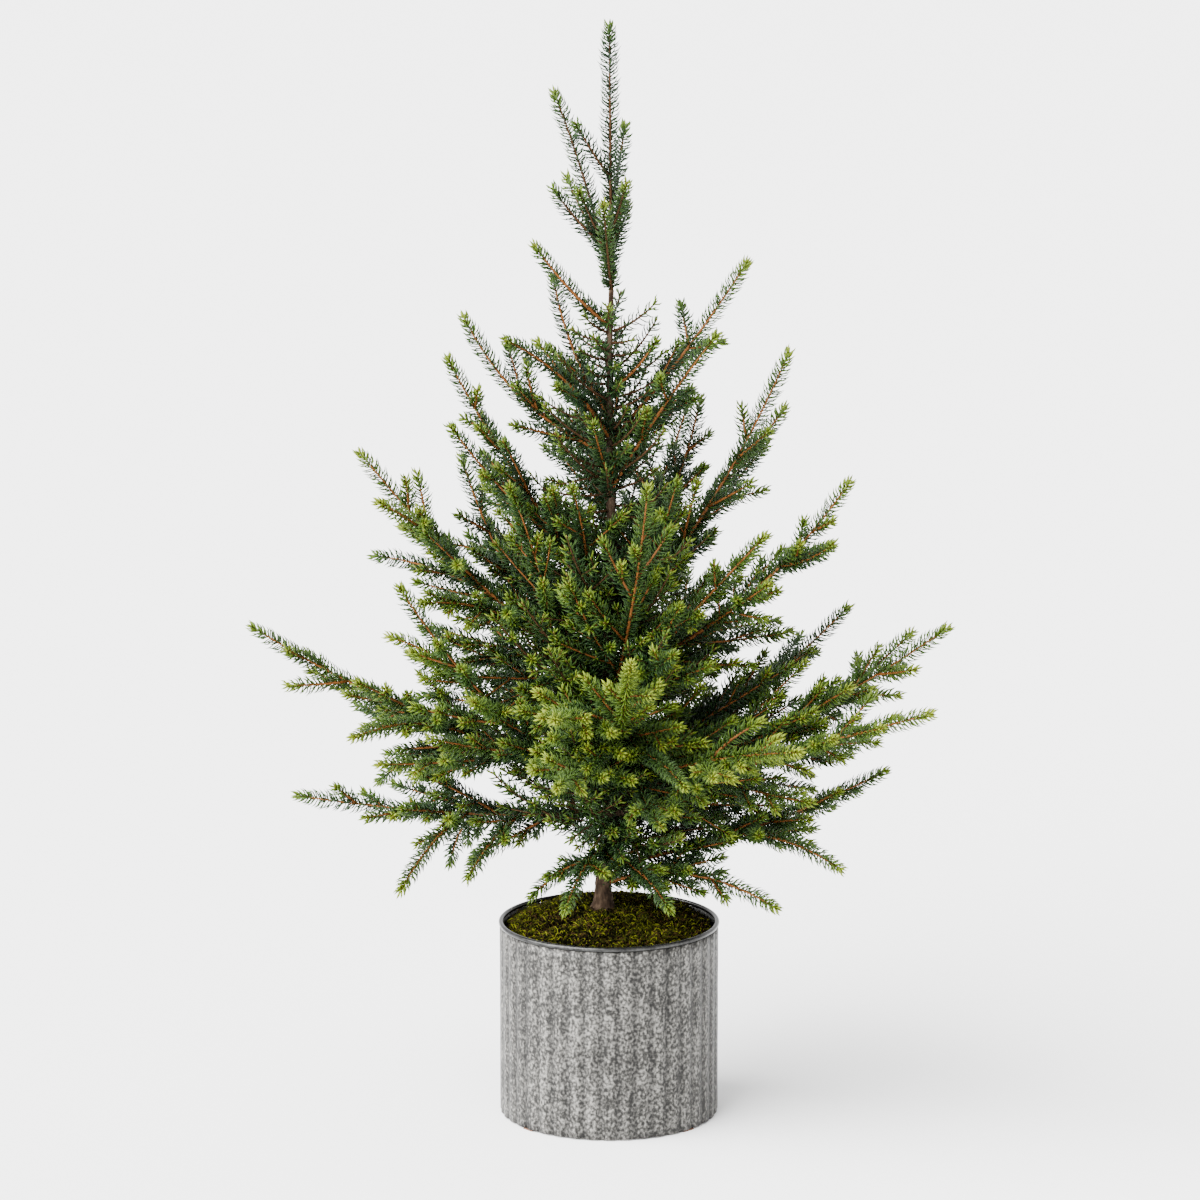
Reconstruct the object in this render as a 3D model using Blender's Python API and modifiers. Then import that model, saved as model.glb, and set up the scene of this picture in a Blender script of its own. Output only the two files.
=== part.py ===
"""A young potted spruce: trunk, boughs, needle masses, mossy soil and a fluted galvanised pot.

The tree stands on Z and the origin is the middle of the pot's underside. -Y is the front, +X the right.
Tables are in millimetres and degrees. Heading 0 is right, 90 back, 180 left and 270 front.
"""
import math
import random
from bisect import bisect_right
from collections import namedtuple

import bmesh
import bpy
from mathutils import Matrix, Vector
from mathutils.bvhtree import BVHTree

MM = 0.001
GAP = 0.3 * MM
UP = Vector((0, 0, 1))

# Pot
POT_RADIUS = 109 * MM
POT_HEIGHT = 191.3 * MM
POT_BORE = 106.6 * MM
POT_FLOOR = 4 * MM
POT_BORE_SIDES = 48
FLUTES = 40
FLUTE_DEPTH = 1.2 * MM
BASE_RADIUS = 98 * MM
BASE_STEP = 1.5 * MM
RIM_RADIUS = 107.6 * MM
RIM_HEIGHT = 194 * MM
RIM_WIRE = 2.4 * MM
PAD_HEADINGS = (42, 137, 222, 317)
PAD_SIZE = (9 * MM, 13 * MM, BASE_STEP - GAP)
PAD_RADIUS = 104 * MM

# Mossy soil that fills the pot, from its edge up to the flat patch under the trunk
MOSS_RADIUS = 105.8 * MM
MOSS_EDGE = 184 * MM
MOSS_TOP = 207 * MM
MOSS_PATCH = 17 * MM
MOSS_SIDES = 32

# Trunk: height, offset to the right, offset to the back, radius
TRUNK = (
    (207.3, -6, 0, 13.5),
    (214, -6, 0, 10.2),
    (226, -6, 0, 8.4),
    (250, -4, 1, 7.6),
    (285, -1, 1, 7.2),
    (318, 0, 0, 6.8),
    (365, 1, -1, 6.4),
    (420, 0, -2, 5.9),
    (513, 0, 0, 5.2),
    (574, 3, 1, 4.7),
    (640, 1, 0, 4.2),
    (708, 1, -1, 3.6),
    (770, 0, 0, 3.0),
    (826, 2, 1, 2.5),
)

# Boughs: where each leaves the trunk, its tip, how far its middle stands above the straight line, and
# the bare length that is a limb of its own before the needles start (0: needles from the trunk on)
Bough = namedtuple("Bough", "name height heading reach tip_height bow bare")
BOUGHS = (
    Bough("leader", 826, 90, 0, 1081, 0, 0),
    Bough("left_2", 790, 200, 76, 872, -4, 0),
    Bough("left_3", 702, 152, 62, 836, -10, 0),
    Bough("left_4", 680, 225, 139, 790, 12, 0),
    Bough("left_5", 664, 175, 142, 798, -19, 0),
    Bough("left_6", 520, 190, 158, 762, -8, 0),
    Bough("left_7", 400, 160, 155, 653, -18, 0),
    Bough("left_8", 430, 185, 243, 670, -12, 55),
    Bough("left_9", 320, 210, 232, 555, -17, 50),
    Bough("left_10", 343, 180, 351, 493, -17, 60),
    Bough("left_11", 304, 175, 312, 316, -8, 55),
    Bough("left_12", 252, 195, 80, 224, 10, 0),
    Bough("right_1", 727, 330, 52, 780, -4, 0),
    Bough("right_2", 678, 10, 136, 850, -5, 0),
    Bough("right_3", 628, 330, 119, 790, 4, 0),
    Bough("right_4", 520, 40, 118, 709, -18, 0),
    Bough("right_5", 480, 5, 176, 763, -13, 0),
    Bough("right_6", 440, 350, 236, 644, -23, 50),
    Bough("right_7", 412, 328, 177, 601, 2, 0),
    Bough("right_8", 348, 20, 255, 496, -17, 50),
    Bough("right_9", 318, 0, 333, 492, -14, 60),
    Bough("right_10", 300, 340, 330, 430, 6, 60),
    Bough("right_11", 250, 355, 273, 353, -11, 45),
    Bough("right_12", 232, 330, 188, 232, 22, 0),
    Bough("front_1", 500, 245, 95, 538, 6, 0),
    Bough("front_2", 410, 285, 141, 655, -14, 0),
    Bough("front_3", 372, 275, 228, 503, -16, 0),
    Bough("front_4", 330, 310, 277, 415, 8, 45),
    Bough("front_5", 360, 290, 208, 377, 18, 0),
    Bough("front_6", 385, 257, 232, 449, 8, 0),
    Bough("front_7", 345, 257, 220, 380, 12, 0),
    Bough("front_8", 268, 252, 138, 240, 14, 0),
    Bough("front_9", 258, 294, 144, 240, 14, 0),
    Bough("back_1", 600, 105, 150, 735, -12, 0),
    Bough("back_2", 540, 65, 190, 690, -14, 0),
    Bough("back_3", 465, 120, 250, 625, -16, 0),
    Bough("back_4", 395, 72, 290, 535, -16, 50),
    Bough("back_5", 335, 112, 320, 430, -14, 50),
    Bough("back_6", 285, 65, 310, 345, -10, 50),
)

# Large side branches: the bough that bears each, how far along it (0 to 1), its tip and its bow
Branch = namedtuple("Branch", "bough along heading reach tip_height bow")
BRANCHES = (
    Branch("leader", 0.02, 170, 54, 1016, 4),
    Branch("leader", 0.15, 190, 55, 926, -4),
    Branch("leader", 0.15, 350, 14, 923, -2),
    Branch("left_5", 0.40, 185, 80, 758, -4),
    Branch("left_6", 0.22, 200, 162, 700, -6),
    Branch("left_8", 0.28, 205, 200, 533, 10),
    Branch("left_8", 0.42, 175, 232, 560, 8),
    Branch("left_8", 0.62, 200, 236, 631, 4),
    Branch("left_9", 0.60, 200, 227, 499, 6),
    Branch("left_10", 0.38, 205, 272, 407, 12),
    Branch("left_10", 0.30, 160, 247, 317, 14),
    Branch("left_11", 0.45, 205, 224, 250, 10),
    Branch("left_11", 0.28, 215, 168, 263, 8),
    Branch("left_11", 0.40, 160, 170, 238, 12),
    Branch("right_2", 0.55, 30, 81, 807, 0),
    Branch("right_5", 0.62, 20, 184, 701, -4),
    Branch("right_6", 0.66, 335, 236, 593, -4),
    Branch("right_8", 0.45, 40, 256, 451, -6),
    Branch("right_9", 0.60, 15, 314, 471, -4),
    Branch("right_10", 0.45, 350, 266, 387, 6),
    Branch("right_11", 0.45, 335, 247, 274, 10),
    Branch("front_4", 0.55, 320, 192, 425, 4),
    Branch("front_3", 0.30, 305, 110, 433, 4),
    Branch("front_3", 0.45, 250, 150, 440, 4),
    Branch("back_2", 0.50, 90, 150, 660, 2),
    Branch("back_3", 0.45, 150, 190, 560, 4),
    Branch("back_4", 0.45, 40, 225, 470, 4),
    Branch("back_5", 0.45, 142, 245, 390, 6),
    Branch("back_6", 0.45, 30, 240, 300, 6),
    Branch("back_6", 0.35, 95, 230, 290, 8),
)

# Side shoots stand to both sides of a bough, SHOOT_STEP apart and longer towards the trunk, as a share
# of the way back from the tip. The first stands SHOOT_FIRST from the tip, and further on young boughs,
# which grow above SHOOT_YOUNG. One in SHOOTS_KEPT is modelled.
SHOOT_STEP = 24 * MM
SHOOT_FIRST = 34 * MM
SHOOT_YOUNG = 450 * MM
SHOOT_YOUTH = 0.3
SHOOT_SHARE = 0.42
SHOOT_LONGEST = 110 * MM
SHOOT_SHORTEST = 24 * MM
SHOOT_ANGLE = 42
SHOOT_ROLL = 32
SHOOT_SWEEP = 2.0
SHOOTS_KEPT = 4

# Limbs, and the three-sided shoots whose side faces are drawn out into needles that lean forward. The
# needles are fewer and broader than the plant's own, and stand CLEARANCE from all else.
LIMB_FOOT = 3.6 * MM
LIMB_TIP = 2.2 * MM
STEM_FOOT = 2.2 * MM
SHOOT_FOOT = 1.7 * MM
SHOOT_TIP = 0.9 * MM
NEEDLE_PITCH = 18.5 * MM
NEEDLE_REACH = 12.5 * MM
NEEDLE_LEAN = 12 * MM
NEEDLE_TURN = 35
CLEARANCE = 0.7 * MM

FINISHES = {
    "pot": ((0.40, 0.41, 0.42), 0.45, 0.9),
    "rim": ((0.30, 0.31, 0.32), 0.35, 0.9),
    "pad": ((0.20, 0.10, 0.06), 0.8, 0.0),
    "moss": ((0.12, 0.12, 0.03), 0.95, 0.0),
    "bark": ((0.16, 0.10, 0.06), 0.85, 0.0),
    "needles": ((0.09, 0.19, 0.06), 0.6, 0.0),
}


class Path:
    """A chain of points that is read by the distance along it."""

    def __init__(self, points):
        self.points = points
        self.marks = [0.0]
        for a, b in zip(points, points[1:]):
            self.marks.append(self.marks[-1] + (b - a).length)
        self.length = self.marks[-1]

    def piece(self, distance):
        return min(max(bisect_right(self.marks, distance) - 1, 0), len(self.points) - 2)

    def at(self, distance):
        i = self.piece(distance)
        share = (distance - self.marks[i]) / (self.marks[i + 1] - self.marks[i])
        return self.points[i].lerp(self.points[i + 1], share)

    def direction(self, distance):
        i = self.piece(distance)
        return (self.points[i + 1] - self.points[i]).normalized()


def polar(heading, reach, height):
    """A point given by its heading and its reach from the tree's axis, in table units."""
    angle = math.radians(heading)
    return Vector((reach * math.cos(angle), reach * math.sin(angle), height)) * MM


def arc(foot, tip, bow, steps=36):
    """A path from foot to tip whose middle stands bow above the straight line."""
    chord = tip - foot
    above = chord.cross(UP).cross(chord).normalized()
    shares = [i / steps for i in range(steps + 1)]
    return Path([foot + chord * t + above * bow * 4 * t * (1 - t) for t in shares])


def trunk_at(height):
    """The middle and the radius of the trunk at a height in table units."""
    row = min(bisect_right([row[0] for row in TRUNK], height), len(TRUNK) - 1)
    low, high = TRUNK[row - 1], TRUNK[row]
    share = (height - low[0]) / (high[0] - low[0])
    z, x, y, radius = (a + (b - a) * share for a, b in zip(low, high))
    return Vector((x, y, z)) * MM, radius * MM


def bough_path(bough):
    foot = trunk_at(bough.height)[0]
    return arc(foot, polar(bough.heading, bough.reach, bough.tip_height), bough.bow * MM)


def branch_path(branch, bearer):
    foot = bearer.at(branch.along * bearer.length)
    return arc(foot, polar(branch.heading, branch.reach, branch.tip_height), branch.bow * MM, 24)


def side_shoots(seed, bearer, start):
    """Paths of the shoots that stand to both sides of a bearer, shorter towards its tip."""
    dice = random.Random(seed)
    shoots = []
    back = SHOOT_FIRST + SHOOT_YOUTH * max(bearer.points[0].z - SHOOT_YOUNG, 0)
    side = dice.choice((0, 180))
    while bearer.length - back > start + 2 * LIMB_TIP:
        spread = dice.uniform(0.7, 1.3)
        angle = math.radians(SHOOT_ANGLE + dice.uniform(-9, 9))
        roll = math.radians(side + dice.gauss(0, SHOOT_ROLL))
        length = min(SHOOT_SHARE * back, SHOOT_LONGEST) * spread
        along = bearer.direction(bearer.length - back)
        level = along.cross(UP if abs(along.z) < 0.95 else Vector((1, 0, 0))).normalized()
        outward = level * math.cos(roll) + level.cross(along) * math.sin(roll)
        heading = along * math.cos(angle) + outward * math.sin(angle)
        foot = bearer.at(bearer.length - back)
        steps = [length * i / 8 for i in range(9)]
        shoots.append(Path([foot + heading * s + along * SHOOT_SWEEP * s * s for s in steps]))
        back += SHOOT_STEP * dice.uniform(0.8, 1.2)
        side += 180
    return [shoot for shoot in shoots if shoot.length > SHOOT_SHORTEST]


def new_object(name, mesh, collection, finish=None):
    thing = bpy.data.objects.new(name, mesh)
    collection.objects.link(thing)
    if finish:
        thing.data.materials.append(material(name, *FINISHES[finish]))
    return thing


def material(name, colour, roughness, metallic):
    made = bpy.data.materials.new(name)
    made.use_nodes = True
    shader = made.node_tree.nodes["Principled BSDF"]
    shader.inputs["Base Color"].default_value = (*colour, 1)
    shader.inputs["Roughness"].default_value = roughness
    shader.inputs["Metallic"].default_value = metallic
    made.diffuse_color = (*colour, 1)
    return made


def mesh_from(thing, name):
    """The evaluated mesh of an object, in place of the object."""
    evaluated = thing.evaluated_get(bpy.context.evaluated_depsgraph_get())
    mesh = bpy.data.meshes.new_from_object(evaluated)
    mesh.name = name
    bpy.data.objects.remove(thing)
    return mesh


def welded_mesh(curve, name):
    """The mesh of a curve object, with its caps welded, in place of the object."""
    mesh = mesh_from(curve, name)
    shape = bmesh.new()
    shape.from_mesh(mesh)
    bmesh.ops.remove_doubles(shape, verts=shape.verts, dist=0.01 * MM)
    bmesh.ops.recalc_face_normals(shape, faces=shape.faces)
    shape.to_mesh(mesh)
    shape.free()
    return mesh


def tube_mesh(name, points, radii, resolution, collection):
    """A round tapering tube through the points, closed at both ends."""
    curve = bpy.data.curves.new(name, "CURVE")
    curve.dimensions = "3D"
    curve.bevel_depth = 1
    curve.bevel_resolution = resolution
    curve.use_fill_caps = True
    spline = curve.splines.new("POLY")
    spline.points.add(len(points) - 1)
    for knot, point, radius in zip(spline.points, points, radii):
        knot.co = (*point, 1)
        knot.radius = radius
    return welded_mesh(new_object(name, curve, collection), name)


def boolean(thing, operation, cutter, solver="EXACT"):
    """Cuts or joins with one object, or with all the objects of a collection."""
    step = thing.modifiers.new(operation.lower(), "BOOLEAN")
    step.operation = operation
    step.solver = solver
    if isinstance(cutter, bpy.types.Collection):
        step.operand_type = "COLLECTION"
        step.collection = cutter
    else:
        step.object = cutter


def cylinder(name, radius, bottom, top, sides, collection):
    shape = bmesh.new()
    middle = Matrix.Translation((0, 0, (bottom + top) / 2))
    bmesh.ops.create_cone(shape, cap_ends=True, segments=sides, radius1=radius, radius2=radius,
                          depth=top - bottom, matrix=middle)
    mesh = bpy.data.meshes.new(name)
    shape.to_mesh(mesh)
    shape.free()
    return new_object(name, mesh, collection)


def cross_axes(along):
    """Two directions across a path, the first of them level where the path allows it."""
    level = along.cross(UP if abs(along.z) < 0.97 else Vector((1, 0, 0))).normalized()
    return level, level.cross(along)


def spiral_stem(path, start, foot, margin=0.0):
    """A closed three-sided stem with a pointed tip. Its side faces climb it in a spiral."""
    turns = max(round((path.length - start) / NEEDLE_PITCH), 2)
    step = (path.length - start) / turns / 3
    stem = bmesh.new()
    corners = []
    for k in range(3 * turns):
        distance = start + step * max(k - 2, 0)
        level, over = cross_axes(path.direction(distance))
        angle = math.radians(90 + 120 * k)
        radius = foot + (SHOOT_TIP - foot) * k / (3 * turns) + margin
        outward = level * math.cos(angle) + over * math.sin(angle)
        corners.append(stem.verts.new(path.at(distance) + outward * radius))
    stem.faces.new(corners[2::-1])
    stem.faces.new((corners[0], corners[2], corners[3]))
    sides = []
    for k in range(3 * turns - 4):
        face = stem.faces.new((corners[k], corners[k + 1], corners[k + 4], corners[k + 3]))
        sides.append((start + step * k, face))
    point = stem.verts.new(path.points[-1])
    stem.faces.new((corners[-3], corners[-2], point))
    for tip in ((corners[-4], corners[-3], point, corners[-1]), (corners[-2], corners[-1], point)):
        sides.append((path.length - step * 2.5, stem.faces.new(tip)))
    bmesh.ops.recalc_face_normals(stem, faces=stem.faces)
    return stem, sides


class Shoot:
    """A stem of one mass. Its needles are drawn out later, when every stem has its place."""

    def __init__(self, owner, path, start, foot, first):
        self.owner = owner
        self.path = path
        self.first = first
        trial = spiral_stem(path, start + 2 * foot, foot, CLEARANCE)[0]
        self.tree = BVHTree.FromBMesh(trial)
        trial.free()
        self.shape, self.sides = spiral_stem(path, start, foot)

    def draw_out_needles(self, others, dice):
        """Pokes the side faces out to points that lean forward, where these touch nothing else."""
        for distance, face in self.sides:
            along = self.path.direction(distance)
            middle = self.path.at(distance)
            outward = face.calc_center_median() - middle
            outward = (outward - along * outward.dot(along)).normalized()
            turn = math.radians(dice.uniform(-NEEDLE_TURN, NEEDLE_TURN))
            outward.rotate(Matrix.Rotation(turn, 3, along))
            lean = NEEDLE_LEAN * dice.uniform(0.7, 1.3)
            point = middle + outward * NEEDLE_REACH + along * lean
            far = point + (point - middle).normalized() * CLEARANCE
            corners = [corner.co.copy() for corner in face.verts]
            count = len(corners)
            fins = [(i, (i + 1) % count, count) for i in range(count)]
            needle = BVHTree.FromPolygons([*corners, far], fins)
            if distance > self.first and is_clear(needle, others):
                bmesh.ops.poke(self.shape, faces=[face])["verts"][0].co = point
        self.tree = BVHTree.FromBMesh(self.shape)


def mesh_tree(mesh):
    points = [vert.co for vert in mesh.vertices]
    return BVHTree.FromPolygons(points, [face.vertices for face in mesh.polygons])


def is_clear(tree, others):
    return not any(other.overlap(tree) for other in others)


def clear_of_trunk(path):
    """The distance along a path at which a stem's whole foot stands GAP clear of the trunk."""
    distance = 0.0
    while True:
        point = path.at(distance)
        if point.z > TRUNK[-1][0] * MM:
            return distance + GAP
        middle, radius = trunk_at(point.z / MM)
        slope = path.direction(distance).z
        if (point - middle).to_2d().length > radius + GAP + STEM_FOOT * max(slope, -slope / 2):
            return distance
        distance += 0.1 * MM


def grow_masses(limbs):
    """The shoots of all masses: main shoots, then side branches, then the side shoots of them all."""
    paths = []
    for bough in BOUGHS:
        path = bough_path(bough)
        start = bough.bare * MM + GAP if bough.bare else clear_of_trunk(path)
        paths.append((bough.name, bough.name, path, start, STEM_FOOT, start))
    for number, branch in enumerate(BRANCHES):
        bearer = bough_path(next(bough for bough in BOUGHS if bough.name == branch.bough))
        path = branch_path(branch, bearer)
        paths.append((branch.bough, f"branch_{number}", path, 0, STEM_FOOT, NEEDLE_PITCH / 2))
    for owner, seed, path, start, foot, first in list(paths):
        for side in side_shoots(seed, path, start)[::SHOOTS_KEPT]:
            paths.append((owner, seed, side, 0, SHOOT_FOOT, NEEDLE_PITCH / 2))
    shoots = []
    for owner, seed, path, start, foot, first in paths:
        shoot = Shoot(owner, path, start, foot, first)
        if is_clear(shoot.tree, limbs + [other.tree for other in shoots if other.owner != owner]):
            shoots.append(shoot)
    dice = random.Random("needles")
    for shoot in shoots:
        shoot.draw_out_needles(limbs + [other.tree for other in shoots if other is not shoot], dice)
    return shoots


def joined(name, shapes, collection, finish):
    """One object from the union of several closed shapes, with sealed hollows and scraps left out."""
    rest = bpy.data.collections.new(name + "_rest")
    bpy.context.scene.collection.children.link(rest)
    pieces = []
    for number, shape in enumerate(shapes):
        mesh = bpy.data.meshes.new(f"{name}_{number}")
        shape.to_mesh(mesh)
        shape.free()
        pieces.append(new_object(mesh.name, mesh, rest if number else collection))
    whole = pieces[0]
    if pieces[1:]:
        boolean(whole, "UNION", rest, "MANIFOLD")
    mesh = mesh_from(whole, name)
    mesh.materials.clear()
    keep_largest_body(mesh)
    for piece in pieces[1:]:
        bpy.data.objects.remove(piece)
    bpy.data.collections.remove(rest)
    return new_object(name, mesh, collection, finish)


def keep_largest_body(mesh):
    shape = bmesh.new()
    shape.from_mesh(mesh)
    left = set(shape.verts)
    bodies = []
    while left:
        body, edge = set(), {left.pop()}
        while edge:
            vert = edge.pop()
            body.add(vert)
            near = {link.other_vert(vert) for link in vert.link_edges} - body
            edge |= near
            left -= near
        bodies.append(body)
    bodies.sort(key=len)
    scraps = [vert for body in bodies[:-1] for vert in body]
    bmesh.ops.delete(shape, geom=scraps, context="VERTS")
    shape.to_mesh(mesh)
    shape.free()


def make_limbs(collection, cutters):
    """The trunk, and the bare limb of each bough that has one, cut to fit against the trunk."""
    limbs = []
    points = [Vector((x, y, z)) * MM for z, x, y, radius in TRUNK]
    radii = [radius * MM for z, x, y, radius in TRUNK]
    trunk = tube_mesh("trunk", points, radii, 4, collection)
    limbs.append(mesh_tree(trunk))
    new_object("trunk", trunk, collection, "bark")
    room = tube_mesh("room_for_trunk", points, [radius + GAP for radius in radii], 4, cutters)
    cutter = new_object("room_for_trunk", room, cutters)
    for bough in BOUGHS:
        if bough.bare:
            path = bough_path(bough)
            marks = [bough.bare * MM * i / 5 for i in range(6)]
            radii = [LIMB_FOOT + (LIMB_TIP - LIMB_FOOT) * i / 5 for i in range(6)]
            name = "bough_" + bough.name
            limb = tube_mesh(name, [path.at(mark) for mark in marks], radii, 1, collection)
            limbs.append(mesh_tree(limb))
            boolean(new_object(name, limb, collection, "bark"), "DIFFERENCE", cutter)
    return limbs


def make_pot(collection, cutters):
    """The fluted wall on its base, bored out, with the rim's wire on top and four pads under the wall."""
    outline = bpy.data.curves.new("pot", "CURVE")
    outline.dimensions = "2D"
    outline.fill_mode = "BOTH"
    outline.extrude = (POT_HEIGHT - BASE_STEP) / 2
    spline = outline.splines.new("POLY")
    spline.points.add(2 * FLUTES - 1)
    spline.use_cyclic_u = True
    for number, knot in enumerate(spline.points):
        angle = math.pi * number / FLUTES
        radius = POT_RADIUS - FLUTE_DEPTH * (number % 2)
        knot.co = (radius * math.cos(angle), radius * math.sin(angle), 0, 1)
    wall = new_object("pot", outline, collection)
    wall.location.z = (POT_HEIGHT + BASE_STEP) / 2
    bpy.context.view_layer.update()
    place = wall.matrix_world.copy()
    pot = new_object("pot", welded_mesh(wall, "pot"), collection, "pot")
    pot.matrix_world = place
    base_disc = cylinder("base_disc", BASE_RADIUS, 0, POT_FLOOR / 2, 40, cutters)
    boolean(pot, "UNION", base_disc)
    bore = cylinder("bore", POT_BORE, POT_FLOOR, 2 * POT_HEIGHT, POT_BORE_SIDES, cutters)
    boolean(pot, "DIFFERENCE", bore)

    bpy.ops.mesh.primitive_torus_add(major_radius=RIM_RADIUS, minor_radius=RIM_WIRE,
                                     major_segments=48, minor_segments=6)
    rim = bpy.context.object
    rim.name = "rim"
    rim.location.z = RIM_HEIGHT
    collect(rim, collection, "rim")
    for number, heading in enumerate(PAD_HEADINGS, 1):
        bpy.ops.mesh.primitive_cube_add(size=1)
        pad = bpy.context.object
        pad.name = f"pad_{number}"
        pad.scale = PAD_SIZE
        pad.rotation_euler.z = math.radians(heading)
        pad.location = polar(heading, PAD_RADIUS / MM, PAD_SIZE[2] / 2 / MM)
        collect(pad, collection, "pad")


def collect(thing, collection, finish):
    """Moves a new primitive from the scene's own collection to the part's, with its material."""
    for holder in thing.users_collection:
        holder.objects.unlink(thing)
    collection.objects.link(thing)
    thing.data.name = thing.name
    thing.data.materials.append(material(thing.name, *FINISHES[finish]))


def make_moss(collection):
    """A turned mound: flat under the trunk, rounded down to the wall, and flat on the pot's floor."""
    floor = POT_FLOOR + GAP
    width = MOSS_RADIUS - MOSS_PATCH
    drop = MOSS_TOP - MOSS_EDGE
    shares = [i / 4 for i in range(5)]
    slope = [(MOSS_PATCH + width * t, MOSS_TOP - drop * t ** 1.6) for t in shares]
    points = [(0, MOSS_TOP), *slope, (MOSS_RADIUS, floor), (0, floor)]
    profile = bpy.data.meshes.new("moss")
    profile.from_pydata([(x, 0, z) for x, z in points], [(i, i + 1) for i in range(len(points) - 1)], [])
    moss = new_object("moss", profile, collection, "moss")
    screw = moss.modifiers.new("turn", "SCREW")
    screw.steps = screw.render_steps = MOSS_SIDES
    screw.use_merge_vertices = True
    screw.merge_threshold = 0.05 * MM


def main():
    for thing in list(bpy.data.objects):
        bpy.data.objects.remove(thing)
    collection = bpy.data.collections.new("potted_spruce")
    cutters = bpy.data.collections.new("cutters")
    for made in (collection, cutters):
        bpy.context.scene.collection.children.link(made)
    make_pot(collection, cutters)
    make_moss(collection)
    shoots = grow_masses(make_limbs(collection, cutters))
    for bough in BOUGHS:
        shapes = [shoot.shape for shoot in shoots if shoot.owner == bough.name]
        joined("needles_" + bough.name, shapes, collection, "needles")
    for cutter in cutters.objects:
        cutter.hide_render = True
        cutter.display_type = "WIRE"


main()
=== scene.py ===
"""A young potted spruce: fluted galvanised pot, moss, scaly trunk, slim orange-brown shoots, needles.

Everything is in metres in the frame of the solids: the pot's underside is at the origin, -Y is the front.
"""

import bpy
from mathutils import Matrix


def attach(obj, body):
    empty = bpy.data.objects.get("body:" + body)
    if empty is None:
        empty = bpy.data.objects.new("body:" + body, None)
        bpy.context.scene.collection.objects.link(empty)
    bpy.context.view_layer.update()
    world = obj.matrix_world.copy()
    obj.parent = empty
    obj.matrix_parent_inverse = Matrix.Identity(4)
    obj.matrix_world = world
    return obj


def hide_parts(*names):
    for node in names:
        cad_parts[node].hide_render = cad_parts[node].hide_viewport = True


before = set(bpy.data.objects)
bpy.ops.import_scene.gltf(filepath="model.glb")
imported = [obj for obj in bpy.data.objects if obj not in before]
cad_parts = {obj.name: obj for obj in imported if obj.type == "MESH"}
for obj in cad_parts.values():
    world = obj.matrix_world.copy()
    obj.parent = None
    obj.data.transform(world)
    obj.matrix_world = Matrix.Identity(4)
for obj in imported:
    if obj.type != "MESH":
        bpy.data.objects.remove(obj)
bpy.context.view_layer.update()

import math
import random
from bisect import bisect_right
from collections import namedtuple

import bmesh
import bpy
import numpy as np
from mathutils import Matrix, Vector, noise

MM = 0.001

# Camera: a long lens in front of the plant and above its top, looking eleven degrees down.
CAMERA_PLACE = (-0.009, -4.345, 1.366)
CAMERA_PITCH = 11.02
CAMERA_LENS = 135.2

lens = bpy.data.cameras.new("camera")
lens.sensor_width = 36
lens.lens = CAMERA_LENS
camera = bpy.data.objects.new("camera", lens)
camera.location = CAMERA_PLACE
camera.rotation_euler.x = math.radians(90 - CAMERA_PITCH)
bpy.context.scene.collection.objects.link(camera)
bpy.context.scene.camera = camera


# Studio: a wide white floor under an even white sky, and one very soft light from the upper left front.
FLOOR_SIZE = 60
SKY_STRENGTH = 1.9
KEY_FROM = (-0.9, -0.5, 0.75)
KEY_STRENGTH = 19.5
KEY_SOFTNESS = 75


def put_in_scene(name, mesh):
    """Puts a mesh in the scene under a name."""
    mesh.name = name
    thing = bpy.data.objects.new(name, mesh)
    bpy.context.scene.collection.objects.link(thing)
    return thing


def smooth_mesh(shape):
    """Turns a bmesh into a smooth mesh and frees it."""
    for face in shape.faces:
        face.smooth = True
    mesh = bpy.data.meshes.new("made")
    shape.to_mesh(mesh)
    shape.free()
    return mesh


def plain_material(name, colour, roughness, metallic=0.0, gloss=0.5):
    """A finish of one colour."""
    made = bpy.data.materials.new(name)
    made.use_nodes = True
    shader = made.node_tree.nodes["Principled BSDF"]
    shader.inputs["Base Color"].default_value = (*colour, 1)
    shader.inputs["Roughness"].default_value = roughness
    shader.inputs["Metallic"].default_value = metallic
    shader.inputs["Specular IOR Level"].default_value = gloss
    made.diffuse_color = (*colour, 1)
    return made


floor_shape = bmesh.new()
bmesh.ops.create_grid(floor_shape, x_segments=2, y_segments=2, size=FLOOR_SIZE / 2)
floor = put_in_scene("floor", smooth_mesh(floor_shape))
floor.data.materials.append(plain_material("floor_white", (0.9, 0.9, 0.9), 0.8))

sky = bpy.data.worlds.new("sky")
sky.use_nodes = True
sky.node_tree.nodes["Background"].inputs["Color"].default_value = (1, 1, 1, 1)
sky.node_tree.nodes["Background"].inputs["Strength"].default_value = SKY_STRENGTH
bpy.context.scene.world = sky
key = bpy.data.lights.new("key", "SUN")
key.energy = KEY_STRENGTH
key.angle = math.radians(KEY_SOFTNESS)
key_light = bpy.data.objects.new("key", key)
key_light.rotation_euler = Vector(KEY_FROM).to_track_quat("Z", "Y").to_euler()
bpy.context.scene.collection.objects.link(key_light)


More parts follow.
